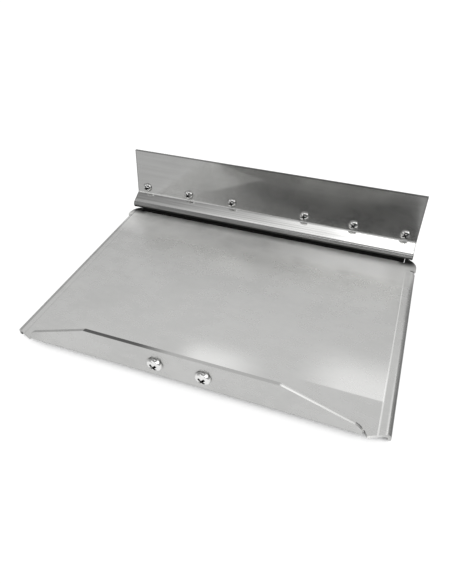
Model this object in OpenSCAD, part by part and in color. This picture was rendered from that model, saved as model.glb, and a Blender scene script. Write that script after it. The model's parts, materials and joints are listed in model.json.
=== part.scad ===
// Boat trim tab: a formed stainless plane hinged to a transom plate.
// It lies on its side flanges, with its aft end towards -Y.

/* [Trim plane] */
// width across the two side flanges
span = 304.8; // [260:0.1:400]
// length from the leading edge to the back of the trailing bend
plane_chord = 216.2; // [170:0.1:300]
// sheet thickness of the plane
plane_t = 2.5; // [2:0.1:3]
// inside radius of the bends in the plane
plane_bend_r = 2.5; // [2:0.1:3.5]
// depth of the side flanges below the top face
flange_drop = 10; // [9.5:0.1:14]
// distance from the leading edge to the side flanges
flange_setback = 20; // [18:0.5:30]
// rounding of the two leading corners
lead_corner_r = 13.5; // [8:0.5:14]
// width of the corner cut at each end of the trailing edge
corner_cut_x = 16; // [8:0.5:17]
// length of the corner cut at each end of the trailing edge
corner_cut_y = 8; // [6:0.5:12]

/* [Trailing lip] */
// height of the lip's top edge above the plane
lip_rise = 31.8; // [28:0.1:40]
// length of the lip's top edge
lip_top_len = 149; // [100:1:180]
// height of the lip's two ends above the plane
lip_end_rise = 8; // [7:0.5:12]
// angle by which the lip leans aft of upright
lip_lean = 6.5; // [0:0.5:12]

/* [Transom plate] */
// sheet thickness of the plate
plate_t = 2; // [1.5:0.1:2.5]
// height of the plate above its lower bend
plate_rise = 46.7; // [40:0.1:70]
// height of the lower bend above the hinge pin
bend_rise = 19.7; // [19.5:0.1:26]
// angle by which the plate leans forward of upright at rest
plate_lean = 5; // [0:0.5:15]
// fall of the ledge below square to the plate
ledge_fall = 32; // [28:1:34]
// length of the ledge from the bend to the nose
ledge_len = 12.3; // [11.5:0.1:14]
// angle through which the nose is curled down
nose_turn = 80; // [60:1:85]
// length of the straight lip below the nose
nose_lip = 1.6; // [1:0.1:2.6]

/* [Hinge] */
// diameter of the hinge pin
pin_d = 4; // [3:0.1:4.4]
// sheet thickness of the hinge leaves
leaf_t = 1.6; // [1.4:0.1:1.8]
// number of knuckles along the hinge
knuckles = 11; // [7:2:15]
// width of the leaf under the plane
leaf_width = 24; // [18:1:34]
// distance from the hinge's ends to the plane's sides
hinge_inset = 12.4; // [12:0.1:20]

/* [Transom screws] */
// diameter over the thread
transom_screw_d = 4.8; // [4:0.1:5]
// length under the head
transom_screw_len = 31.8; // [20:0.1:40]
// height of the screw row above the plate's lower bend
screw_row_rise = 6.5; // [6.2:0.1:10]
// distance from the outer screws to the plate's ends
screw_edge = 11.5; // [10:0.1:20]
// distance between neighbouring screws of one side
screw_pitch = 48.6; // [40:0.1:50]

/* [Actuator screws] */
// diameter over the thread
actuator_screw_d = 6.4; // [5:0.1:6.8]
// length under the head
actuator_screw_len = 9.5; // [8:0.1:14]
// distance between the two screws
actuator_pitch = 38.1; // [30:0.1:60]
// height of the two screws above the plane
actuator_rise = 16.1; // [14:0.1:18]

/* [Hidden] */
$fn = 64;
steel = [0.78, 0.79, 0.80];

// general clearances
neck_play = 0.2;
neck_over = 0.3;
neck_extra_d = 0.4;
pin_play = 0.03;
knuckle_gap = 0.5;
transom_gap = 0.8;
over = 1;
lap = 3;
round_bite = 0.005;

// trim plane
half_span = span / 2;
plane_bend_ro = plane_bend_r + plane_t;
flange_aft = plane_chord - corner_cut_y / 2;
flange_len = flange_aft - flange_setback;
flange_corner_r = 3;
flange_slant = 3;
flange_aft_slant = corner_cut_y;
bend_relief = 1.5;
lip_inset = 19.4;
lip_foot_len = span - 2 * lip_inset;
lip_foot_relief = 0.8;
lip_top_r = 1.5;
lip_end_r = 10;
lip_axis_y = plane_bend_ro - plane_chord;
lip_corner = [lip_axis_y - plane_bend_ro * tan((90 - lip_lean) / 2), -plane_t];
lip_top = lip_corner + [-tan(lip_lean), 1] * (lip_rise + plane_t + over);
actuator_up = (actuator_rise - plane_bend_r) / cos(lip_lean);
corner_tip = 1;
corner_slope = (corner_cut_y - corner_tip) / corner_cut_x;

// hinge
pin_r = pin_d / 2;
bore_r = pin_r + pin_play;
knuckle_r = bore_r + leaf_t;
hinge_len = span - 2 * hinge_inset;
knuckle_pitch = hinge_len / knuckles;
seam = 0.4;
seam_angle = 64;
ear_inset = 0.3;
ear_reach = knuckle_r - ear_inset;
pin_y = -ear_reach;
pin_z = knuckle_r - leaf_t - plane_t;
pin_stick_out = 0.5;
pin_len = hinge_len + 2 * pin_stick_out;
pin_chamfer = 0.5;
recess_play = 1;
recess_half = hinge_len / 2 + recess_play;
recess_depth = ear_reach + knuckle_r + knuckle_gap;
leaf_bend_r = 1;
leaf_corner_r = 2;
leaf_leg = 10.5;
leaf_inset = 1;

// transom plate, measured from the hinge pin
plate_inset = 5.4;
plate_len = span - 2 * plate_inset;
web_len = plate_len - 2 * leaf_inset;
plate_face_y = knuckle_r + transom_gap - plate_t;
plate_bend_r = 2;
nose_r = 1.9;
nose_reach = (nose_r + plate_t) * tan(nose_turn / 2);
nose_angle = ledge_fall + nose_turn;
plate_bend = [plate_face_y, bend_rise];
plate_top = plate_bend + [0, plate_rise];
ledge_way = [-cos(ledge_fall), -sin(ledge_fall)];
nose_corner = plate_bend + ledge_way * (ledge_len + nose_reach);
nose_end = nose_corner + [-cos(nose_angle), -sin(nose_angle)] * (nose_reach + nose_lip);
screw_row_z = bend_rise + screw_row_rise;
outer_screw = plate_len / 2 - screw_edge;
screw_x = [for (side = [-1, 1], i = [0:2]) side * (outer_screw - i * screw_pitch)];

// fixed leaf, from the ledge's underside to the line of its web
ledge_under = plate_bend + plate_t * [sin(ledge_fall), -cos(ledge_fall)];
leaf_corner = ledge_under - ledge_way * (knuckle_r - ledge_under[0]) / cos(ledge_fall);
leaf_end = leaf_corner + ledge_way * leaf_leg;
leaf_foot = [knuckle_r, knuckle_r + knuckle_gap];

// screw heads in proportion to their threads
head_d_ratio = 1.97;
head_h_ratio = 0.69;
dome_r_ratio = 0.75;
head_side_ratio = 1.1;
recess_w_ratio = 0.22;
recess_d_ratio = 1.1;
recess_floor_ratio = 0.4;
point_len_ratio = 1.1;
point_tip_ratio = 0.06;
blunt_len_ratio = 0.12;
blunt_tip_ratio = 0.4;

// the origin lies on the floor under the middle of the whole part
tip_y = pin_y + (plate_face_y + transom_screw_len) * cos(plate_lean) + screw_row_z * sin(plate_lean);
head_back = plane_bend_ro + actuator_screw_d * head_h_ratio;
head_y = lip_axis_y - head_back * cos(lip_lean) - actuator_up * sin(lip_lean);
lip_top_y = lip_corner[0] - (lip_rise + plane_t) * tan(lip_lean);
middle_y = (tip_y + min(head_y, lip_top_y)) / 2;

// frames
module plane_frame() {
    translate([0, -middle_y, flange_drop])
        children();
}

module lip_frame() {
    plane_frame()
        translate([0, lip_axis_y, plane_bend_r])
            rotate([lip_lean, 0, 0])
                children();
}

module plate_frame() {
    plane_frame()
        translate([0, pin_y, pin_z])
            rotate([-plate_lean, 0, 0])
                children();
}

// sections are drawn with x as Y and y as Z, and run along X
module section() {
    rotate([90, 0, 90])
        children();
}

// outline with rounded corners, whether they point out or in
function unit(v) = v / norm(v);
function at(list, i) = list[(i + len(list)) % len(list)];
function to_before(pts, i) = unit(at(pts, i - 1) - pts[i]);
function to_after(pts, i) = unit(at(pts, i + 1) - pts[i]);
function half_angle(pts, i) = acos(to_before(pts, i) * to_after(pts, i)) / 2;
function turn_at(pts, i) = sign(cross(to_after(pts, i), to_before(pts, i)));
function total(list) = list * [for (v = list) 1];
function turn_of(pts) = sign(total([for (i = [0:len(pts) - 1]) cross(pts[i], at(pts, i + 1))]));
function points_out(pts, i) = turn_at(pts, i) == turn_of(pts);
function corner(pts, i, r) = r == 0
    ? [pts[i]]
    : [pts[i] + to_before(pts, i) * r / tan(half_angle(pts, i)),
       pts[i] + to_after(pts, i) * r / tan(half_angle(pts, i))];
function corner_centre(pts, i, r) =
    pts[i] + unit(to_before(pts, i) + to_after(pts, i)) * (r / sin(half_angle(pts, i)) - round_bite);

module corner_circle(pts, i, r) {
    translate(corner_centre(pts, i, r))
        circle(r);
}

module corner_cutter(pts, i, r) {
    ends = corner(pts, i, r);
    difference() {
        polygon([ends[0], 2 * pts[i] - corner_centre(pts, i, r), ends[1]]);
        corner_circle(pts, i, r);
    }
}

module outline(pts, radii) {
    difference() {
        polygon([for (i = [0:len(pts) - 1]) each corner(pts, i, points_out(pts, i) ? 0 : radii[i])]);
        for (i = [0:len(pts) - 1])
            if (radii[i] > 0)
                if (points_out(pts, i))
                    corner_cutter(pts, i, radii[i]);
                else
                    corner_circle(pts, i, radii[i]);
    }
}

// section of a bent sheet, lying to the right of the line through pts, with an inside radius for each bend
function right_of(a, b) = [unit(b - a)[1], -unit(b - a)[0]];
function mitre(a, b) = (a + b) / (1 + a * b);
function beside(pts, i, t) = pts[i] + t * (
    i == 0 ? right_of(pts[0], pts[1])
    : i == len(pts) - 1 ? right_of(pts[i - 1], pts[i])
    : mitre(right_of(pts[i - 1], pts[i]), right_of(pts[i], pts[i + 1])));
function bends_right(pts, i) = cross(pts[i] - pts[i - 1], pts[i + 1] - pts[i]) < 0;

module sheet_section(pts, t, bends) {
    last = len(pts) - 1;
    left_r = [for (i = [1:last - 1]) bends_right(pts, i) ? bends[i - 1] + t : bends[i - 1]];
    right_r = [for (i = [last - 1:-1:1]) bends_right(pts, i) ? bends[i - 1] : bends[i - 1] + t];
    outline(concat(pts, [for (i = [last:-1:0]) beside(pts, i, t)]),
            concat(0, left_r, 0, 0, right_r, 0));
}

// pan-head screw along z, its head above z = 0
module pan_screw(d, length, grip, pointed) {
    head_d = d * head_d_ratio;
    head_h = d * head_h_ratio;
    dome_r = head_d * dome_r_ratio;
    side_r = head_h * head_side_ratio;
    point = d * (pointed ? point_len_ratio : blunt_len_ratio);
    tip_r = d * (pointed ? point_tip_ratio : blunt_tip_ratio);
    difference() {
        rotate_extrude()
            intersection() {
                square([head_d / 2, head_h]);
                translate([0, head_h - dome_r])
                    circle(dome_r);
                translate([head_d / 2 - side_r, 0])
                    circle(side_r);
            }
        for (turn = [0, 90])
            rotate(turn)
                translate([-d * recess_d_ratio / 2, -d * recess_w_ratio / 2, head_h * recess_floor_ratio])
                    cube([d * recess_d_ratio, d * recess_w_ratio, head_h]);
    }
    translate([0, 0, -grip - neck_over])
        cylinder(d = d + neck_extra_d, h = grip + neck_over);
    translate([0, 0, point - length])
        cylinder(d = d, h = length - point - grip - neck_over);
    translate([0, 0, -length])
        cylinder(r1 = tip_r, r2 = d / 2, h = point);
}

// places of the screws
module at_transom_screws() {
    for (x = screw_x)
        translate([x, plate_face_y, screw_row_z])
            rotate([90, 0, 0])
                children();
}

module at_actuator_screws() {
    for (side = [-1, 1])
        translate([side * actuator_pitch / 2, -plane_bend_ro, actuator_up])
            rotate([90, 0, 0])
                children();
}

// transom plate: upright sheet, ledge and curled nose
module transom_plate() {
    line = [nose_end, nose_corner, plate_bend, plate_top];
    hole_d = transom_screw_d + neck_extra_d + 2 * neck_play;
    color(steel)
        plate_frame()
            difference() {
                section()
                    translate([0, 0, -plate_len / 2])
                        linear_extrude(plate_len)
                            sheet_section(line, plate_t, [nose_r, plate_bend_r]);
                at_transom_screws()
                    translate([0, 0, -plate_t - over])
                        cylinder(d = hole_d, h = plate_t + 2 * over);
            }
}

// rolled hinge knuckles along X, every second one from the given first
module rolled_knuckles(first, seam_at) {
    for (i = [first:2:knuckles - 1])
        translate([0, 0, (i - knuckles / 2) * knuckle_pitch + knuckle_gap / 2])
            difference() {
                union() {
                    cylinder(r = knuckle_r, h = knuckle_pitch - knuckle_gap);
                    children();
                }
                translate([0, 0, -over])
                    cylinder(r = bore_r, h = knuckle_pitch + 2 * over);
                rotate(seam_at)
                    translate([0, -seam / 2, -over])
                        cube([knuckle_r + seam / 2, seam, knuckle_pitch + 2 * over]);
            }
}

// fixed leaf: web along the plate down to the pin, with a leg welded under the ledge
module hinge_fixed_leaf() {
    color(steel)
        plate_frame()
            section() {
                rolled_knuckles(0, seam_angle)
                    translate([knuckle_r - leaf_t, 0])
                        cube([leaf_t, leaf_foot[1] + over, knuckle_pitch - knuckle_gap]);
                translate([0, 0, -web_len / 2])
                    linear_extrude(web_len)
                        sheet_section([leaf_end, leaf_corner, leaf_foot], leaf_t, [leaf_bend_r]);
            }
}

// moving leaf: welded under the plane, rolled up round the pin
module hinge_moving_leaf() {
    leaf_fore = knuckle_r + knuckle_gap;
    leaf_outline = [[-hinge_len / 2, -leaf_fore], [-hinge_len / 2, -leaf_fore - leaf_width],
                    [hinge_len / 2, -leaf_fore - leaf_width], [hinge_len / 2, -leaf_fore]];
    color(steel)
        plane_frame()
            translate([0, pin_y, pin_z]) {
                section()
                    rolled_knuckles(1, 270 - seam_angle)
                        translate([-leaf_fore, -knuckle_r])
                            cube([leaf_fore, leaf_t, knuckle_pitch - knuckle_gap]);
                translate([0, 0, -knuckle_r])
                    linear_extrude(leaf_t)
                        outline(leaf_outline, [0, leaf_corner_r, leaf_corner_r, 0]);
            }
}

// hinge pin with chamfered ends
module hinge_pin() {
    straight = pin_len / 2 - pin_chamfer;
    color(steel)
        plate_frame()
            rotate([0, 90, 0]) {
                cylinder(r = pin_r, h = 2 * straight, center = true);
                for (side = [0, 1])
                    mirror([0, 0, side])
                        translate([0, 0, straight])
                            cylinder(r1 = pin_r, r2 = pin_r - pin_chamfer, h = pin_chamfer);
            }
}

// six screws into the transom
module transom_screws() {
    color(steel)
        plate_frame()
            at_transom_screws()
                pan_screw(transom_screw_d, transom_screw_len, plate_t, true);
}

// slanting cut at the right end of the trailing edge, seen from above
module corner_cut() {
    polygon([[half_span - corner_cut_x, corner_tip - plane_chord],
             [half_span + over, corner_cut_y + corner_slope * over - plane_chord],
             [half_span + over, -plane_chord - over],
             [half_span - corner_cut_x, -plane_chord - over]]);
}

// flat of the plane seen from above
module plane_flat() {
    side_x = half_span - plane_bend_ro;
    cut_x = half_span - corner_cut_x;
    aft_y = corner_tip - plane_chord;
    foot_x = lip_foot_len / 2 + lip_foot_relief;
    difference() {
        union() {
            polygon([[-side_x, -flange_setback], [-side_x, aft_y], [-cut_x, aft_y], [-foot_x, lip_axis_y],
                     [foot_x, lip_axis_y], [cut_x, aft_y], [side_x, aft_y], [side_x, -flange_setback]]);
            outline([[-half_span, 0], [-half_span, bend_relief - flange_setback],
                     [half_span, bend_relief - flange_setback], [half_span, 0]],
                    [lead_corner_r, bend_relief, bend_relief, lead_corner_r]);
            translate([-side_x, -flange_setback])
                square([2 * side_x, 2 * bend_relief]);
        }
        translate([-recess_half, -recess_depth])
            square([2 * recess_half, recess_depth + over]);
        for (side = [0, 1])
            mirror([side, 0])
                corner_cut();
    }
}

// one turned-down side of the plane
module side_flange() {
    line = [[half_span - plane_bend_ro - lap, 0], [half_span, 0], [half_span, -flange_drop]];
    difference() {
        intersection() {
            translate([0, -flange_setback, 0])
                rotate([90, 0, 0])
                    linear_extrude(flange_len)
                        sheet_section(line, plane_t, [plane_bend_r]);
            section()
                linear_extrude(span)
                    outline([[-flange_aft, over], [-flange_aft, -plane_bend_ro],
                             [flange_aft_slant - flange_aft, -flange_drop],
                             [-flange_setback - flange_slant, -flange_drop],
                             [-flange_setback, -plane_bend_ro], [-flange_setback, over]],
                            [0, 0, flange_corner_r, flange_corner_r, 0, 0]);
        }
        translate([0, 0, -flange_drop - over])
            linear_extrude(flange_drop + 2 * over)
                corner_cut();
    }
}

// upturned trailing lip
module trailing_lip() {
    foot = lip_foot_len / 2;
    line = [[lip_axis_y + lap, -plane_t], lip_corner, lip_top];
    intersection() {
        section()
            translate([0, 0, -foot])
                linear_extrude(lip_foot_len)
                    sheet_section(line, plane_t, [plane_bend_r]);
        rotate([90, 0, 0])
            linear_extrude(plane_chord + lip_rise)
                outline([[-foot, -plane_t - over], [foot, -plane_t - over], [foot, lip_end_rise],
                         [lip_top_len / 2, lip_rise], [-lip_top_len / 2, lip_rise], [-foot, lip_end_rise]],
                        [0, 0, lip_end_r, lip_top_r, lip_top_r, lip_end_r]);
    }
}

// trim plane: flat, side flanges and trailing lip from one sheet
module trim_plane() {
    hole_d = actuator_screw_d + neck_extra_d + 2 * neck_play;
    color(steel)
        difference() {
            plane_frame() {
                translate([0, 0, -plane_t])
                    linear_extrude(plane_t)
                        plane_flat();
                for (side = [0, 1])
                    mirror([side, 0, 0])
                        side_flange();
                trailing_lip();
            }
            lip_frame()
                at_actuator_screws()
                    translate([0, 0, -plane_t - over])
                        cylinder(d = hole_d, h = plane_t + 2 * over);
        }
}

// two screws for the actuator's bracket
module actuator_screws() {
    color(steel)
        lip_frame()
            at_actuator_screws()
                pan_screw(actuator_screw_d, actuator_screw_len, plane_t, false);
}

transom_plate();
hinge_fixed_leaf();
hinge_pin();
transom_screws();
trim_plane();
hinge_moving_leaf();
actuator_screws();
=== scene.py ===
import functools
import json
import math
from collections import namedtuple
from types import SimpleNamespace

import bmesh
import bpy
from mathutils import Matrix, Vector


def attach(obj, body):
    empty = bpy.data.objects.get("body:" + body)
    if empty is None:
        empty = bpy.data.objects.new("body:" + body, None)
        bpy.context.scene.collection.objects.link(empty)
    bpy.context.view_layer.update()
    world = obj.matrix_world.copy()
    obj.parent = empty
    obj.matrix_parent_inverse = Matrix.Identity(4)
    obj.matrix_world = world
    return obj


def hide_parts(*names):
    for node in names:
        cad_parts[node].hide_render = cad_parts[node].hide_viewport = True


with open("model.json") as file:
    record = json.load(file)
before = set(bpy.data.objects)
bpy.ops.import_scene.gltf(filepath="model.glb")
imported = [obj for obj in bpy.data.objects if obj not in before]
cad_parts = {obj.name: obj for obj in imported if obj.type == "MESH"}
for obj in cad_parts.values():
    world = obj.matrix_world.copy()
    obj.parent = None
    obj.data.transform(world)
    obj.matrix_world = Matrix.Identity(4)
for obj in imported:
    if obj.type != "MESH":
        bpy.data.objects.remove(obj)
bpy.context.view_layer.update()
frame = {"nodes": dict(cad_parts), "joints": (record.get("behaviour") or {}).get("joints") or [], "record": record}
scene = bpy.context.scene

# the frame and the stage are in metres; places and sizes on the part are in millimetres, or have MM
# beside them
MM = 0.001
PIN = Vector(frame["joints"][0]["pos_m"]) / MM
MOUNTS = {mount["name"]: mount for mount in frame["record"]["mounts"]}

# soft edges on the transom plate: the ledge's top in z and the nose's fore limit in y
LEDGE_TOP = (28.0, 30.0)
NOSE_FORE = (83.6, 84.8)


# shader nodes
class Nodes:
    """Adds shader nodes to one tree. A value is a socket or a plain number."""

    def __init__(self, tree):
        tree.nodes.clear()
        self.tree = tree

    def add(self, kind, inputs=None, **settings):
        node = self.tree.nodes.new(kind)
        for key, value in settings.items():
            setattr(node, key, value)
        for key, value in (inputs or {}).items():
            if isinstance(value, bpy.types.NodeSocket):
                self.tree.links.new(value, node.inputs[key])
            else:
                node.inputs[key].default_value = value
        return node

    def math(self, operation, a, b=0.0):
        return self.add("ShaderNodeMath", {0: a, 1: b}, operation=operation).outputs[0]

    def times(self, *values):
        return functools.reduce(functools.partial(self.math, "MULTIPLY"), values)

    def plus(self, *values):
        return functools.reduce(functools.partial(self.math, "ADD"), values)

    def minus(self, a, b):
        return self.math("SUBTRACT", a, b)

    def size(self, value):
        """The value without its sign."""
        return self.math("ABSOLUTE", value)

    def length(self, a, b):
        """The length of a line that runs a along one axis and b along another."""
        return self.math("SQRT", self.plus(self.times(a, a), self.times(b, b)))

    def ramp(self, value, start, end, first=0.0, last=1.0):
        """Eases from first to last while the value goes from start to end."""
        inputs = {"Value": value, "From Min": start, "From Max": end, "To Min": first, "To Max": last}
        return self.add("ShaderNodeMapRange", inputs, interpolation_type="SMOOTHSTEP").outputs["Result"]

    def fall(self, value, start, end, last=0.0):
        """Eases from 1 to last while the value goes from start to end."""
        return self.ramp(value, start, end, 1.0, last)

    def mix(self, share, a, b):
        return self.add("ShaderNodeMix", {"Factor": share, "A": a, "B": b}).outputs["Result"]

    def mix_shader(self, share, a, b):
        return self.add("ShaderNodeMixShader", {0: share, 1: a, 2: b}).outputs[0]

    def noise(self, vector, scale, detail, roughness):
        inputs = {"Vector": vector, "Scale": scale, "Detail": detail, "Roughness": roughness}
        return self.add("ShaderNodeTexNoise", inputs).outputs["Fac"]

    def streaks(self, vector, scale, detail, roughness):
        """Noise drawn out along the axes whose scale is small."""
        drawn_out = self.add("ShaderNodeMapping", {"Vector": vector, "Scale": scale}).outputs["Vector"]
        return self.noise(drawn_out, 1.0, detail, roughness)

    def xyz(self, vector, **more):
        parts = self.add("ShaderNodeSeparateXYZ", {0: vector}).outputs
        return SimpleNamespace(x=parts["X"], y=parts["Y"], z=parts["Z"], **more)

    def surface(self):
        """The shaded point: x, y and z in millimetres, its place in metres and its normal."""
        found = self.add("ShaderNodeTexCoord").outputs
        place = found["Object"]
        scaled = self.add("ShaderNodeVectorMath", {0: place, "Scale": 1 / MM}, operation="SCALE")
        return self.xyz(scaled.outputs[0], place=place, normal=self.xyz(found["Normal"]))

    def open_share(self, reach):
        """How open a point is to its surroundings, 0 deep in a crevice to 1 in the open."""
        return self.add("ShaderNodeAmbientOcclusion", {"Distance": reach}, samples=12).outputs["AO"]


# marks on the trim plane
def upper_face(nodes, at):
    """1 on faces that look up."""
    looks_up = (0.2, 0.6)
    return nodes.ramp(at.normal.z, *looks_up)


def die_lines_and_shading(nodes, at, look):
    """A groove beside each side bend, with a painted highlight on it that grows towards the right, and a painted
    shade line along the left bend.
    """
    groove_x, bend_x = 143.1, -147.6
    half_width = (0.2, 0.8)
    fore_end = (66, 74)
    depth = 0.08 * MM
    left_to_right, right_bright = (-100, 100), 0.35
    bend_dark = 0.72
    from_groove = nodes.size(nodes.minus(nodes.size(at.x), groove_x))
    groove = nodes.times(nodes.fall(from_groove, *half_width), nodes.fall(at.y, *fore_end))
    look.height = nodes.minus(look.height, nodes.times(groove, depth))
    # painted highlight on the groove, growing towards the right
    bright = nodes.ramp(at.x, *left_to_right, 0.0, right_bright)
    look.tone = nodes.plus(look.tone, nodes.times(groove, bright))
    # painted shade along the left bend
    from_bend = nodes.size(nodes.minus(at.x, bend_x))
    look.tone = nodes.times(look.tone, nodes.ramp(from_bend, *half_width, bend_dark, 1.0))


def sheared_lip_and_shade(nodes, at, look):
    """The lip's sheared top edge, duller and a little darker, with painted shade that makes it much darker on the
    left.
    """
    top_edge = (41.1, 41.5)
    left_to_middle, left_dark, right_dark = (-35, 0), 0.75, 0.15
    extra_rough = 0.3
    # painted shade on the sheared edge, deepest on the left
    dark = nodes.ramp(at.x, *left_to_middle, left_dark, right_dark)
    sheared = nodes.times(nodes.ramp(at.z, *top_edge), dark)
    look.tone = nodes.times(look.tone, nodes.minus(1.0, sheared))
    look.rough = nodes.plus(look.rough, nodes.times(sheared, extra_rough))


def painted_reflection_patches(nodes, at, look):
    """Two painted reflections, pale patches on the upper face by the right flange and in the middle by the lip, on
    a plane with painted shade that makes it a touch darker beyond a slanted line at the left."""
    slant, slant_edge = 0.71, (-96, -82)
    left_tone, right_tone = 0.97, 0.98
    bright = 0.40
    patches = (
        # soft edges at the left, the right, aft and fore
        ((72, 118), (142.8, 143.4), (-89.0, -87.4), (-80, -40)),
        ((-22, 6), (18, 60), (-112, -96), (-94, -68)),
    )
    from_left = nodes.plus(at.x, nodes.times(at.y, slant))
    # painted shade beyond the slanted line
    look.tone = nodes.times(look.tone, nodes.ramp(from_left, *slant_edge, left_tone, right_tone))
    # painted reflections
    for left, right, aft, fore in patches:
        across = nodes.times(nodes.ramp(at.x, *left), nodes.fall(at.x, *right))
        along = nodes.times(nodes.ramp(at.y, *aft), nodes.fall(at.y, *fore))
        patch = nodes.times(across, along, upper_face(nodes, at))
        look.tone = nodes.plus(look.tone, nodes.times(patch, bright))


def lip_end(nodes, at, look):
    """The lip's sloping right end: a painted highlight on the aft part of its thickness and painted shade on the
    rest.
    """
    from_front, aft_soft, fore_soft = 1.1, 0.2, 0.4
    aft_change, fore_change = 0.5, -0.25
    looks_right = (0.25, 0.5)
    above_bend = (13, 15)
    front = MOUNTS["lip_face"]
    normal = Vector(front["axis"])
    middle = Vector(front["pos_m"]).dot(normal) / MM - from_front
    through = nodes.plus(nodes.times(at.y, normal.y), nodes.times(at.z, normal.z))
    slope = nodes.times(nodes.ramp(at.normal.x, *looks_right), nodes.ramp(at.z, *above_bend))
    # painted highlight on the aft part, painted shade on the rest
    change = nodes.ramp(through, middle - aft_soft, middle + fore_soft, aft_change, fore_change)
    look.tone = nodes.plus(look.tone, nodes.times(slope, change))


def slot_ends(nodes, at, look):
    """Shade at the two ends of the slot that the hinge lies in."""
    slot_x, slot_y = 145.0, 90.5
    shade_edge, deepest = (2, 11), 0.95
    inner_limit = (133, 139)
    out = nodes.size(at.x)
    beyond = nodes.math("MAXIMUM", nodes.minus(out, slot_x), 0.0)
    behind = nodes.math("MINIMUM", nodes.minus(at.y, slot_y), 0.0)
    shade = nodes.ramp(nodes.length(beyond, behind), *shade_edge, deepest, 0.0)
    shade = nodes.times(shade, nodes.ramp(out, *inner_limit))
    look.tone = nodes.times(look.tone, nodes.minus(1.0, shade))


def leading_strip(nodes, at, look):
    """A duller strip before the slot with painted light, more of it on the right, and painted shade along the
    slot.
    """
    right_half, right_start, right_glow = (0, 80), (20, 50), 0.16
    rough_start, extra_rough = (45, 82), 0.50
    strip_start, strip_glow = (40, 68), 0.47
    right_end, past_right_end = (135, 150), 0.1
    slot_edge, slot_tone = (77, 86), 0.84
    # painted light on the right half
    corner = nodes.times(upper_face(nodes, at), nodes.ramp(at.x, *right_half))
    corner_glow = nodes.times(corner, nodes.ramp(at.y, *right_start, 0.0, right_glow))
    look.tone = nodes.times(look.tone, nodes.plus(corner_glow, 1.0))
    look.rough = nodes.plus(look.rough, nodes.ramp(at.y, *rough_start, 0.0, extra_rough))
    # painted light over the strip
    glow = nodes.ramp(at.y, *strip_start, 0.0, strip_glow)
    glow = nodes.times(glow, nodes.fall(at.x, *right_end, past_right_end))
    look.tone = nodes.times(look.tone, nodes.plus(glow, 1.0))
    # painted shade along the slot
    look.tone = nodes.times(look.tone, nodes.fall(at.y, *slot_edge, slot_tone))


def leading_haze(nodes, at, look):
    """A less metallic haze over the right half of the leading strip."""
    start, end, past_end = (50, 66), (74, 84), 0.1
    right_half, haziest = (0, 90), 0.42
    right_end, past_right_end = (115, 142), 0.1
    along = nodes.times(nodes.ramp(at.y, *start), nodes.fall(at.y, *end, past_end))
    across = nodes.ramp(at.x, *right_half, 0.0, haziest)
    across = nodes.times(across, nodes.fall(at.x, *right_end, past_right_end))
    look.metal = nodes.minus(look.metal, nodes.times(along, across))


def cut_corner_highlight(nodes, at, look):
    """A painted highlight on the sheet's cut edge that looks aft at the right corner, below the lip."""
    looks_aft = (-0.8, -0.5)
    right_corner = (128, 131)
    sheet_top = (10.2, 11.0)
    bright = 0.5
    cut_edge = nodes.times(nodes.fall(at.normal.y, *looks_aft), nodes.ramp(at.x, *right_corner))
    cut_edge = nodes.times(cut_edge, nodes.fall(at.z, *sheet_top))
    # painted highlight on the cut edge
    look.tone = nodes.plus(look.tone, nodes.times(cut_edge, bright))


# marks on the transom plate
def painted_reflection_wedge(nodes, at, look):
    """A painted reflection, a pale wedge that points to the right on the aft face, which has painted shade right
    of the wedge's left end.
    """
    low_slope, low_edge = 0.394, (66.4, 70.4)
    high_slope, high_edge = 0.194, (62.4, 66.4)
    wedge_start, left_glow, right_glow = (-75, -35), 0.10, 0.52
    dark_start, above_ledge, dark = (-90, -40), (30, 36), 0.12
    looks_aft = (-0.6, -0.3)
    aft_face = nodes.fall(at.normal.y, *looks_aft)
    above_low = nodes.ramp(nodes.minus(at.z, nodes.times(at.x, low_slope)), *low_edge)
    below_high = nodes.fall(nodes.plus(at.z, nodes.times(at.x, high_slope)), *high_edge)
    glow = nodes.ramp(at.x, *wedge_start, left_glow, right_glow)
    wedge = nodes.times(above_low, below_high, aft_face, glow)
    # painted shade on the right part of the aft face
    right_part = nodes.times(aft_face, nodes.ramp(at.x, *dark_start), nodes.ramp(at.z, *above_ledge))
    look.tone = nodes.times(look.tone, nodes.minus(1.0, nodes.times(right_part, dark)))
    # painted reflection
    look.tone = nodes.times(look.tone, nodes.plus(wedge, 1.0))


def ledge_streaks_and_highlights(nodes, at, look):
    """Streaks along the ledge, with painted highlights high on its right half and towards its aft end."""
    streak_scale = (7, 600, 600)
    streak_range, darkest, brightest = (0.3, 0.7), 0.82, 1.12
    fore_part, right_half, fore_glow = (22.5, 28.5), (-30, 50), 0.4
    aft_part, left_to_right, left_glow, right_glow = (85.0, 88.5), (-120, 90), 0.8, 0.2
    ledge = nodes.fall(at.z, *LEDGE_TOP)
    streaks = nodes.streaks(at.place, streak_scale, detail=2, roughness=0.6)
    streaks = nodes.ramp(streaks, *streak_range, darkest, brightest)
    # painted highlight high on the right half
    glow = nodes.times(nodes.ramp(at.z, *fore_part), nodes.ramp(at.x, *right_half, 0.0, fore_glow))
    look.tone = nodes.times(look.tone, nodes.mix(ledge, 1.0, nodes.plus(streaks, glow)))
    # painted highlight towards the aft end
    aft_end = nodes.minus(nodes.fall(at.y, *aft_part), nodes.fall(at.y, *NOSE_FORE))
    aft_glow = nodes.times(aft_end, nodes.ramp(at.x, *left_to_right, left_glow, right_glow), ledge)
    look.tone = nodes.times(look.tone, nodes.plus(aft_glow, 1.0))


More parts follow.
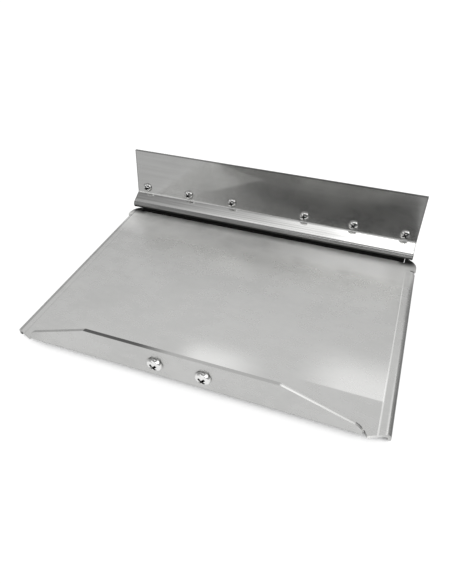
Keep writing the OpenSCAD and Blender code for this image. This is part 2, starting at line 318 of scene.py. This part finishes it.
def shaded_nose(nodes, at, look):
    """A dull nose with painted shade, darker on the left and dark on its underside."""
    left_to_right, left_tone, right_tone = (-60, 90), 0.42, 0.90
    underside, underside_tone = (18.8, 20.4), 0.1
    right_half, left_rough, right_rough = (-20, 60), 0.16, 0.13
    nose = nodes.fall(at.y, *NOSE_FORE)
    # painted shade, darker on the left and on the underside
    nose_shade = nodes.ramp(at.x, *left_to_right, left_tone, right_tone)
    nose_shade = nodes.times(nose_shade, nodes.ramp(at.z, *underside, underside_tone, 1.0))
    look.tone = nodes.times(look.tone, nodes.mix(nose, 1.0, nose_shade))
    extra_rough = nodes.ramp(at.x, *right_half, left_rough, right_rough)
    look.rough = nodes.plus(look.rough, nodes.times(nose, extra_rough))


def dark_edges(nodes, at, look):
    """The plate's top and side edges, darker than its faces."""
    side_edge, top_edge = (146.0, 146.5), (74.3, 75.0)
    dark = 0.55
    side = nodes.ramp(nodes.size(at.x), *side_edge)
    edge = nodes.math("MAXIMUM", side, nodes.ramp(at.z, *top_edge))
    look.tone = nodes.times(look.tone, nodes.fall(edge, 0.0, 1.0, dark))


# painted shade on the hinge
def knuckle_shade(nodes, at, look):
    """Painted shade, and rougher steel, on the upper aft side of the knuckles, in the slot under the ledge, and on
    the ends of the fixed leaf, which is the longer one."""
    knuckle_edge, leaf_end = (4.5, 6.5), (143.5, 145.0)
    upper_half, aft_half = (-2, 0), (0.5, 2.5)
    dark, extra_rough = 0.05, 0.2
    fore = nodes.minus(at.y, PIN.y)
    up = nodes.minus(at.z, PIN.z)
    hinge_shade = nodes.times(nodes.fall(nodes.length(fore, up), *knuckle_edge), nodes.ramp(up, *upper_half))
    hinge_shade = nodes.times(hinge_shade, nodes.fall(fore, *aft_half))
    hinge_shade = nodes.math("MAXIMUM", hinge_shade, nodes.ramp(nodes.size(at.x), *leaf_end))
    # painted shade
    look.tone = nodes.times(look.tone, nodes.fall(hinge_shade, 0.0, 1.0, dark))
    look.rough = nodes.plus(look.rough, nodes.times(hinge_shade, extra_rough))


# steel
def steel(name, colour, roughness, streak, cloudy=0.06, reach=12 * MM, crevice=0.2, marks=()):
    """Stainless steel with rolling streaks, soft smudges, a slightly wavy face, and rougher crevices with painted
    shade in them.
    The marks of forming, and the painted light and shade, also stand for what the photo's steel mirrors."""
    cloud_scale, wave_scale = 28, (26, 34, 34)
    cloud_share, line_share = 0.55, 0.45
    line_height, wave_height = 0.0008 * MM, 0.01 * MM
    tone_range, rough_range = (0.3, 0.7), (0.25, 0.75)
    smoothest, roughest = roughness * 0.88, roughness * 1.14
    dark_crevice, dull_crevice, crevice_rough = (0.3, 0.9), (0.3, 0.8), 0.25
    brightest = 1.5
    material = bpy.data.materials.new(name)
    material.use_nodes = True
    nodes = Nodes(material.node_tree)
    at = nodes.surface()
    cloud = nodes.noise(at.place, cloud_scale, detail=3, roughness=0.55)
    lines = nodes.streaks(at.place, streak, detail=3, roughness=0.6)
    wave = nodes.streaks(at.place, wave_scale, detail=1, roughness=0.5)
    shade = nodes.plus(nodes.times(cloud, cloud_share), nodes.times(lines, line_share))
    look = SimpleNamespace(
        tone=nodes.ramp(shade, *tone_range, 1 - cloudy, 1 + cloudy),
        rough=nodes.ramp(shade, *rough_range, smoothest, roughest),
        height=nodes.plus(nodes.times(lines, line_height), nodes.times(wave, wave_height)),
        metal=1.0,
    )
    for mark in marks:
        mark(nodes, at, look)
    open_share = nodes.open_share(reach)
    # painted shade: darker in crevices and recesses
    tone = nodes.times(look.tone, nodes.ramp(open_share, *dark_crevice, crevice, 1.0))
    tone = nodes.math("MINIMUM", tone, brightest)
    rough = nodes.plus(look.rough, nodes.ramp(open_share, *dull_crevice, crevice_rough, 0.0))
    base = nodes.add("ShaderNodeVectorMath", {0: colour, "Scale": tone}, operation="SCALE").outputs[0]
    bump = nodes.add("ShaderNodeBump", {"Height": look.height, "Distance": 1.0, "Strength": 1.0}).outputs[0]
    inputs = {"Base Color": base, "Metallic": look.metal, "Roughness": rough, "Normal": bump}
    shader = nodes.add("ShaderNodeBsdfPrincipled", inputs).outputs["BSDF"]
    nodes.add("ShaderNodeOutputMaterial", {"Surface": shader})
    return material


SHEET_COLOUR = (0.66, 0.66, 0.65)
LEAF_COLOUR = (0.62, 0.62, 0.61)
# the screws and the bolts are one polished steel: the screws' darker colour is painted shade and the bolts'
# lighter colour painted light
SCREW_COLOUR = (0.78, 0.78, 0.77)
BOLT_COLOUR = (0.95, 0.95, 0.94)
plane_marks = (die_lines_and_shading, sheared_lip_and_shade, painted_reflection_patches, lip_end, slot_ends, leading_strip, leading_haze,
               cut_corner_highlight)
plate_marks = (painted_reflection_wedge, ledge_streaks_and_highlights, shaded_nose, dark_edges)
hinge_marks = (knuckle_shade,)
polish = {"roughness": 0.07, "streak": (900, 900, 900), "cloudy": 0.03, "reach": 3 * MM, "crevice": 0.03}
plane_steel = steel("plane_steel", SHEET_COLOUR, roughness=0.27, streak=(70, 110, 110),
                    reach=6 * MM, crevice=0.5, marks=plane_marks)
plate_steel = steel("plate_steel", SHEET_COLOUR, roughness=0.13, streak=(6, 330, 330),
                    reach=4 * MM, crevice=0.5, marks=plate_marks)
hinge_steel = steel("hinge_steel", LEAF_COLOUR, roughness=0.40, streak=(300, 500, 500),
                    crevice=0.8, marks=hinge_marks)
screw_steel = steel("screw_steel", SCREW_COLOUR, **polish)
bolt_steel = steel("bolt_steel", BOLT_COLOUR, **polish)


# carried-over sheets and hinge: a better finish, and edges broken as on deburred sheet
def dress(node, material, edge):
    """Gives a carried-over node its material and breaks its sharp edges."""
    flat_angle, sharp_angle = math.radians(0.4), math.radians(40)
    piece = frame["nodes"][node]
    piece.data.materials.clear()
    piece.data.materials.append(material)
    flat = piece.modifiers.new("flat_faces", "DECIMATE")
    flat.decimate_type = "DISSOLVE"
    flat.angle_limit = flat_angle
    soft = piece.modifiers.new("broken_edges", "BEVEL")
    soft.width = edge
    soft.segments = 2
    soft.limit_method = "ANGLE"
    soft.angle_limit = sharp_angle
    soft.harden_normals = True


SHEET_EDGE = 0.25 * MM
HINGE_EDGE = 0.12 * MM
dress("trim_plane", plane_steel, SHEET_EDGE)
dress("transom_plate", plate_steel, SHEET_EDGE)
for hinge_node in ("hinge_fixed_leaf", "hinge_moving_leaf", "hinge_pin"):
    dress(hinge_node, hinge_steel, HINGE_EDGE)


# screws: a head's width and height and a thread's taper are shares of the diameter, a thread's tip is
# a share of its root, and a ridge is one turn's height from root to crest
HEAD_WIDTH, HEAD_HEIGHT = 1.97, 0.69
AROUND = 32
Thread = namedtuple("Thread", "ridge taper tip")
Screw = namedtuple("Screw", "diameter length grip pitch thread")
self_tapping = Thread(ridge=(0, 0, 0.15, 0.6, 1, 0.6, 0.15, 0), taper=1.1, tip=0.12)
machine = Thread(ridge=(0, 0.25, 0.5, 0.75, 1, 0.75, 0.5, 0.25), taper=0.16, tip=0.72)
transom_screw = Screw(diameter=4.8, length=31.8, grip=2, pitch=1.6, thread=self_tapping)
actuator_screw = Screw(diameter=6.4, length=9.5, grip=2.5, pitch=1.27, thread=machine)


def head_profile(diameter):
    """Points from the top of a pan head to its base, as radius and height."""
    steps = 40
    dome_share, side_share = 0.75, 1.1
    width, height = diameter * HEAD_WIDTH, diameter * HEAD_HEIGHT
    dome_radius, side_radius = width * dome_share, height * side_share
    side_centre = width / 2 - side_radius
    points = []
    for i in range(steps, -1, -1):
        z = height * i / steps
        side = side_centre + math.sqrt(max(side_radius ** 2 - z ** 2, 0))
        dome = math.sqrt(max(dome_radius ** 2 - (z - height + dome_radius) ** 2, 0))
        points.append((min(side, dome), z))
    return points


def screw_rows(screw):
    """Rows of points down a screw, head, neck and thread, and how many rows come before the thread."""
    neck_extra, neck_past_grip = 0.2, 0.3
    thread_depth = 0.54 * screw.pitch
    smallest_ring = 0.05
    spare_turns = 2
    crest = screw.diameter / 2
    neck, root = crest + neck_extra, crest - thread_depth
    start, tip = -screw.grip - neck_past_grip, -screw.length
    taper = screw.diameter * screw.thread.taper
    head = [point for point in head_profile(screw.diameter) if point[0] > smallest_ring]
    plain = head + [(neck, 0), (neck, start)]
    rows = [[point] * AROUND for point in plain]
    per_turn = len(screw.thread.ridge)
    step = screw.pitch / per_turn
    count = math.ceil((start - tip + 2 * spare_turns * screw.pitch) / step)
    for j in range(count):
        row = []
        for i in range(AROUND):
            z = start + (spare_turns - i / AROUND) * screw.pitch - j * step
            if z >= start:
                row.append((root, start))
            elif z <= tip:
                row.append((root * screw.thread.tip, tip))
            else:
                fade = min(1, (start - z) / screw.pitch)
                r = root + (crest - root) * screw.thread.ridge[j % per_turn] * fade
                narrowing = min(1, max(screw.thread.tip, (z - tip) / taper))
                row.append((r * narrowing, z))
        rows.append(row)
    return rows, len(plain)


def screw_mesh(name, screw):
    """One closed screw along z, its head above z = 0, before the recess is cut."""
    weld = 1e-4
    rows, plain = screw_rows(screw)
    last = len(rows) - 1
    bm = bmesh.new()
    verts = []
    for row in rows:
        ring = []
        for i, (r, z) in enumerate(row):
            a = 2 * math.pi * i / AROUND
            ring.append(bm.verts.new((r * math.cos(a), r * math.sin(a), z)))
        verts.append(ring)
    for j in range(last):
        for i in range(AROUND):
            # the thread climbs one turn around the screw, so its last column joins the next turn
            shift = len(screw.thread.ridge) if i == AROUND - 1 and j >= plain else 0
            k = (i + 1) % AROUND
            a, b = min(j + shift, last), min(j + 1 + shift, last)
            quad = [verts[j][i], verts[j + 1][i], verts[b][k], verts[a][k]]
            if len(set(quad)) >= 3:
                bm.faces.new(list(dict.fromkeys(quad)))
    bmesh.ops.remove_doubles(bm, verts=bm.verts, dist=weld)
    bmesh.ops.dissolve_degenerate(bm, edges=bm.edges, dist=weld)
    bmesh.ops.holes_fill(bm, edges=[e for e in bm.edges if e.is_boundary], sides=0)
    bmesh.ops.recalc_face_normals(bm, faces=bm.faces)
    for f in bm.faces:
        f.smooth = True
    mesh = bpy.data.meshes.new(name)
    bm.to_mesh(mesh)
    bm.free()
    return mesh


def tapered_block(bm, top, bottom, height, z):
    """A block whose rectangle changes from bottom to top."""
    corners = []
    for (x, y), level in ((bottom, z), (top, z + height)):
        corners.append([bm.verts.new((sx * x / 2, sy * y / 2, level))
                        for sx, sy in ((-1, -1), (1, -1), (1, 1), (-1, 1))])
    low, up = corners
    bm.faces.new(low[::-1])
    bm.faces.new(up)
    for i in range(4):
        k = (i + 1) % 4
        bm.faces.new([low[i], low[k], up[k], up[i]])


def recess_mesh(name, diameter, turn):
    """Cutter for one arm pair of a cross recess, turned about z and standing out of the head."""
    top = (diameter * 1.34, diameter * 0.36)
    bottom = (diameter * 0.6, diameter * 0.22)
    floor, stands_out = diameter * 0.12, diameter * 0.2
    height = diameter * HEAD_HEIGHT - floor + stands_out
    bm = bmesh.new()
    tapered_block(bm, top, bottom, height, floor)
    bmesh.ops.rotate(bm, verts=bm.verts, matrix=Matrix.Rotation(turn, 3, "Z"))
    mesh = bpy.data.meshes.new(name)
    bm.to_mesh(mesh)
    bm.free()
    return mesh


def cut(piece, cutter_mesh):
    """Cuts a shape out of a piece for good."""
    cutter = bpy.data.objects.new("cutter", cutter_mesh)
    scene.collection.objects.link(cutter)
    modifier = piece.modifiers.new("recess", "BOOLEAN")
    modifier.object = cutter
    modifier.operation = "DIFFERENCE"
    modifier.solver = "EXACT"
    graph = bpy.context.evaluated_depsgraph_get()
    made = bpy.data.meshes.new_from_object(piece.evaluated_get(graph))
    piece.modifiers.clear()
    piece.data = made
    bpy.data.objects.remove(cutter)


def screw_places(screw, turns_of_mounts):
    """Where the screws of some mounts seat, heads aft, each turned as given for its left and right screw."""
    mount_past_sheet = 0.4
    places = []
    for name, turns in turns_of_mounts.items():
        mount = MOUNTS[name]
        axis = Vector(mount["axis"])
        seat = Vector(mount["pos_m"]) / MM - axis * (screw.grip + mount_past_sheet)
        head_aft = Matrix.Rotation(math.atan2(axis.z, axis.y) + math.radians(90), 4, "X")
        half = mount["dims"]["pcd_mm"] / 2
        for x, turn in zip((-half, half), turns):
            to_seat = Matrix.Translation(seat + Vector((x, 0, 0)))
            places.append(to_seat @ head_aft @ Matrix.Rotation(turn, 4, "Z"))
    return places


def make_screws(name, node, body, material, screw, places):
    """The screws of one node as a single piece of separate closed screws."""
    sharp_angle = math.radians(38)
    blank = bpy.data.objects.new(name, screw_mesh(name, screw))
    scene.collection.objects.link(blank)
    for turn in (0, math.pi / 2):
        cut(blank, recess_mesh("recess", screw.diameter, turn))
    bm = bmesh.new()
    for place in places:
        part = blank.data.copy()
        part.transform(place)
        bm.from_mesh(part)
        bpy.data.meshes.remove(part)
    bmesh.ops.scale(bm, vec=(MM, MM, MM), verts=bm.verts)
    mesh = bpy.data.meshes.new(name)
    bm.to_mesh(mesh)
    bm.free()
    blank.data = mesh
    mesh.materials.append(material)
    mesh.set_sharp_from_angle(angle=sharp_angle)
    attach(blank, body)
    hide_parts(node)


transom_turns = {
    "transom_screws_outer": (0.3, 0.5),
    "transom_screws_middle": (0.9, 0.75),
    "transom_screws_inner": (0.2, 0.1),
}
actuator_turns = {"actuator_screws": (0.7, 0.8)}
make_screws("transom_screw_set", "transom_screws", "transom_bracket", screw_steel, transom_screw,
            screw_places(transom_screw, transom_turns))
make_screws("actuator_screw_set", "actuator_screws", "tab", bolt_steel, actuator_screw,
            screw_places(actuator_screw, actuator_turns))


# stage: white floor, a room for the metal to mirror, lamps and camera
WHITE = (1, 1, 1, 1)


def make_floor():
    """White to the camera, with a soft shadow by the part. The metal mirrors it as a dimmer glow with painted
    shade, darkest at the far right, and a painted shadow by the part."""
    reach = 30 * MM
    floor_grey = (0.85, 0.85, 0.85, 1)
    white_strength, white_share, white_start = 1.13, 0.85, (0.15, 0.40)
    dim_share, left_dim, middle_dim, right_dim, near_dim = 0.85, 0.47, 0.87, 0.14, 0.05
    left_side, right_side, near_part = (-180, -125), (140, 170), (0.2, 0.5)
    half_width, drop = 6, 0.2 * MM
    material = bpy.data.materials.new("floor_white")
    material.use_nodes = True
    nodes = Nodes(material.node_tree)
    at = nodes.surface()
    open_share = nodes.open_share(reach)
    path = nodes.add("ShaderNodeLightPath").outputs
    seen = nodes.math("MAXIMUM", path["Is Camera Ray"], path["Is Transmission Ray"])
    lit = nodes.add("ShaderNodeBsdfDiffuse", {"Color": floor_grey}).outputs[0]
    # painted shade at the sides and a painted shadow by the part, in what the metal mirrors
    tone = nodes.ramp(at.x, *left_side, left_dim, middle_dim)
    tone = nodes.times(tone, nodes.fall(at.x, *right_side, right_dim))
    tone = nodes.times(tone, nodes.ramp(open_share, *near_part, near_dim, 1.0))
    dim = nodes.add("ShaderNodeEmission", {"Color": WHITE, "Strength": tone}).outputs[0]
    mirrored = nodes.mix_shader(dim_share, lit, dim)
    unseen = nodes.mix_shader(path["Is Glossy Ray"], lit, mirrored)
    white = nodes.add("ShaderNodeEmission", {"Color": WHITE, "Strength": white_strength}).outputs[0]
    share = nodes.times(seen, nodes.ramp(open_share, *white_start, 0.0, white_share))
    nodes.add("ShaderNodeOutputMaterial", {"Surface": nodes.mix_shader(share, unseen, white)})
    bm = bmesh.new()
    bmesh.ops.create_grid(bm, x_segments=1, y_segments=1, size=half_width)
    mesh = bpy.data.meshes.new("floor")
    bm.to_mesh(mesh)
    bm.free()
    mesh.materials.append(material)
    floor = bpy.data.objects.new("floor", mesh)
    floor.location.z = -drop
    scene.collection.objects.link(floor)


def make_world():
    """White to the camera. To the metal, a dim room with a bright ceiling and pale and dark panels."""
    world = bpy.data.worlds.new("studio")
    world.use_nodes = True
    nodes = Nodes(world.node_tree)
    way = nodes.xyz(nodes.add("ShaderNodeTexCoord").outputs["Generated"])
    degree = 180 / math.pi
    rise = nodes.times(nodes.math("ARCSINE", way.z), degree)
    fore = nodes.times(nodes.math("ARCTAN2", way.x, way.y), degree)
    aft = nodes.times(nodes.math("ARCTAN2", way.x, nodes.times(way.y, -1.0)), degree)
    ceiling_start, wall_level, ceiling_level = (60, 88), 0.27, 1.05
    slant, slant_middle = 1.7, 18.5
    slanted = nodes.plus(aft, nodes.times(nodes.minus(rise, slant_middle), slant))
    panels = (
        # angle across, from and to, rise from and to, soft edge, level
        (fore, (-75, 80), (36, 60), 6, 0.90),
        (fore, (28, 80), (34, 56), 5, 1.5),
        (fore, (-75, -18), (22, 36), 4, 0.70),
        (aft, (-60, 60), (38, 54), 5, 1.0),
        (aft, (-14, 60), (38, 54), 5, 1.4),
        (aft, (-60, 60), (56, 74), 5, 0.15),
        (fore, (12, 110), (-20, 20), 4, 0.35),
        (fore, (-110, -15), (-20, 16), 4, 0.50),
        (aft, (-55, 60), (-20, 32), 4, 0.04),
        (aft, (-32, 20), (-20, 8), 3, 1.3),
        (aft, (38, 85), (22, 54), 5, 2.2),
        (slanted, (-58, -16), (9, 30), 2, 1.0),
    )

    def band(value, limits, soft):
        """1 between two limits, easing to 0 over a soft edge at each."""
        low, high = limits
        inside_low = nodes.ramp(value, low - soft, low + soft)
        return nodes.times(inside_low, nodes.fall(value, high - soft, high + soft))

    level = nodes.ramp(rise, *ceiling_start, wall_level, ceiling_level)
    for across, angles, rises, soft, value in panels:
        area = nodes.times(band(across, angles, soft), band(rise, rises, soft))
        level = nodes.mix(area, level, value)
    camera_ray = nodes.add("ShaderNodeLightPath").outputs["Is Camera Ray"]
    room = nodes.add("ShaderNodeBackground", {"Color": WHITE, "Strength": level}).outputs[0]
    white = nodes.add("ShaderNodeBackground", {"Color": WHITE, "Strength": 1.0}).outputs[0]
    nodes.add("ShaderNodeOutputWorld", {"Surface": nodes.mix_shader(camera_ray, room, white)})
    scene.world = world


def make_light(name, place, target, side, power, mirrored):
    """A square lamp that the camera doesn't see, in metres and watts."""
    lamp = bpy.data.lights.new(name, "AREA")
    lamp.shape = "RECTANGLE"
    lamp.size = side
    lamp.size_y = side
    lamp.energy = power
    holder = bpy.data.objects.new(name, lamp)
    holder.location = place
    holder.rotation_mode = "QUATERNION"
    holder.rotation_quaternion = (Vector(target) - Vector(place)).to_track_quat("-Z", "Y")
    holder.visible_camera = False
    holder.visible_glossy = mirrored
    scene.collection.objects.link(holder)


def make_camera():
    """A plain camera at the photo's viewing angle; focal length and shift are in the photo's pixels."""
    long_side, focal, shift = 584, 510.83, 1.53
    place = Vector((118.42, -340.81, 305.69)) * MM
    azimuth, elevation, roll = (math.radians(angle) for angle in (20.80, 40.12, -0.573))
    level = math.cos(elevation)
    back = Vector((math.sin(azimuth) * level, -math.cos(azimuth) * level, math.sin(elevation)))
    flat_right = Vector((math.cos(azimuth), math.sin(azimuth), 0))
    flat_up = back.cross(flat_right)
    right = math.cos(roll) * flat_right + math.sin(roll) * flat_up
    up = math.cos(roll) * flat_up - math.sin(roll) * flat_right
    data = bpy.data.cameras.new("camera")
    data.sensor_width = 36
    data.lens = focal * data.sensor_width / long_side
    data.shift_x = shift / long_side
    data.clip_start = 10 * MM
    camera = bpy.data.objects.new("camera", data)
    turn = Matrix((right, up, back)).transposed().to_4x4()
    camera.matrix_world = Matrix.Translation(place) @ turn
    scene.collection.objects.link(camera)
    scene.camera = camera


make_floor()
make_world()
make_light("overhead", place=(0.12, 0.15, 2.5), target=(0.1, 0, 0), side=0.5, power=0.45, mirrored=True)
make_light("soft_box", place=(-0.3, 0.2, 2.4), target=(0, 0, 0), side=1.6, power=16, mirrored=False)
make_camera()
scene.view_settings.view_transform = "Standard"
